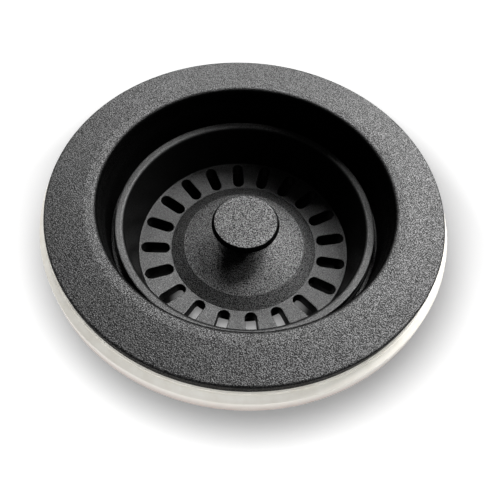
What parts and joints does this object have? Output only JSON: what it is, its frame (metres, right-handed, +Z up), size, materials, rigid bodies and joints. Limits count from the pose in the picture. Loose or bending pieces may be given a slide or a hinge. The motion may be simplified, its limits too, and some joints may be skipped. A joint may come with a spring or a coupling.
{
  "type": "garbage disposal sink flange with basket strainer",
  "caption": "Round black sink flange for a garbage disposal, with a cream rim gasket, a lift-out slotted basket strainer with a mushroom knob, and clamping parts under it.",
  "frame": {"origin": "on the flange's axis, in the plane where the rim gasket rests on the sink deck", "axes": "+Z up, out of the sink drain along the flange's axis; +X and +Y lie in the deck plane"},
  "size_m": [0.1199, 0.1198, 0.06],
  "materials": {
    "flange_finish": "matte fine-grained black coating",
    "gasket_cream": "smooth cream moulding with a soft gloss",
    "strainer_black": "matte black moulding, faint grain",
    "cap_black": "matte black moulding, coarse grain",
    "rubber_black": "dull black rubber",
    "fibre_red": "vulcanised fibre sheet",
    "zinc_steel": "zinc-plated pressed steel",
    "stainless": "turned stainless steel",
    "brass": "turned brass",
    "acetal": "natural acetal"
  },
  "bodies": {
    "flange": {"sink_flange": "flange_finish", "rim_gasket": "gasket_cream", "mounting_ring": "zinc_steel", "snap_ring": "stainless"},
    "clamp": {"fibre_gasket": "fibre_red", "backup_flange": "zinc_steel"},
    "screw_1": {"clamp_screw_1": "zinc_steel"},
    "screw_2": {"clamp_screw_2": "zinc_steel"},
    "screw_3": {"clamp_screw_3": "zinc_steel"},
    "lip_seal": {"basket_seal": "rubber_black"},
    "strainer": {"strainer_basket": "strainer_black", "centre_cap": "cap_black", "hub_washer": "stainless", "hub_nut": "brass", "guide_bush": "acetal", "stem_o_ring": "rubber_black"},
    "plunger": {"knob": "cap_black", "knob_insert": "brass", "stem": "stainless", "stem_clip": "stainless", "upper_washer": "stainless", "stopper": "rubber_black", "lower_washer": "stainless", "stem_nut": "stainless"}
  },
  "joints": [
    {"name": "strainer_lift", "type": "slide", "parent": "flange", "child": "lip_seal", "axis": [0, 0, 1], "range_m": [0, 0.05]},
    {"name": "strainer_turn", "type": "hinge", "parent": "lip_seal", "child": "strainer", "pos_m": [0, 0, 0], "axis": [0, 0, 1], "continuous": true},
    {"name": "knob_press", "type": "slide", "parent": "strainer", "child": "plunger", "axis": [0, 0, 1], "range_m": [-0.005, 0]},
    {"name": "clamp_slide", "type": "slide", "parent": "flange", "child": "clamp", "axis": [0, 0, 1], "range_m": [-0.003, 0.0075]},
    {"name": "screw_1_turn", "type": "hinge", "parent": "clamp", "child": "screw_1", "pos_m": [0.01669, 0.04586, -0.03], "axis": [0, 0, 1], "range_deg": [-851.39, 2126.98]},
    {"name": "screw_2_turn", "type": "hinge", "parent": "clamp", "child": "screw_2", "pos_m": [-0.04806, -0.00847, -0.03], "axis": [0, 0, 1], "range_deg": [-851.39, 2126.98]},
    {"name": "screw_3_turn", "type": "hinge", "parent": "clamp", "child": "screw_3", "pos_m": [0.03137, -0.03738, -0.03], "axis": [0, 0, 1], "range_deg": [-851.39, 2126.98]}
  ],
  "couplings": [
    {"joint": "screw_1_turn", "follows": "clamp_slide", "rad_per_m": 4947.4},
    {"joint": "screw_2_turn", "follows": "clamp_slide", "rad_per_m": 4947.4},
    {"joint": "screw_3_turn", "follows": "clamp_slide", "rad_per_m": 4947.4}
  ]
}
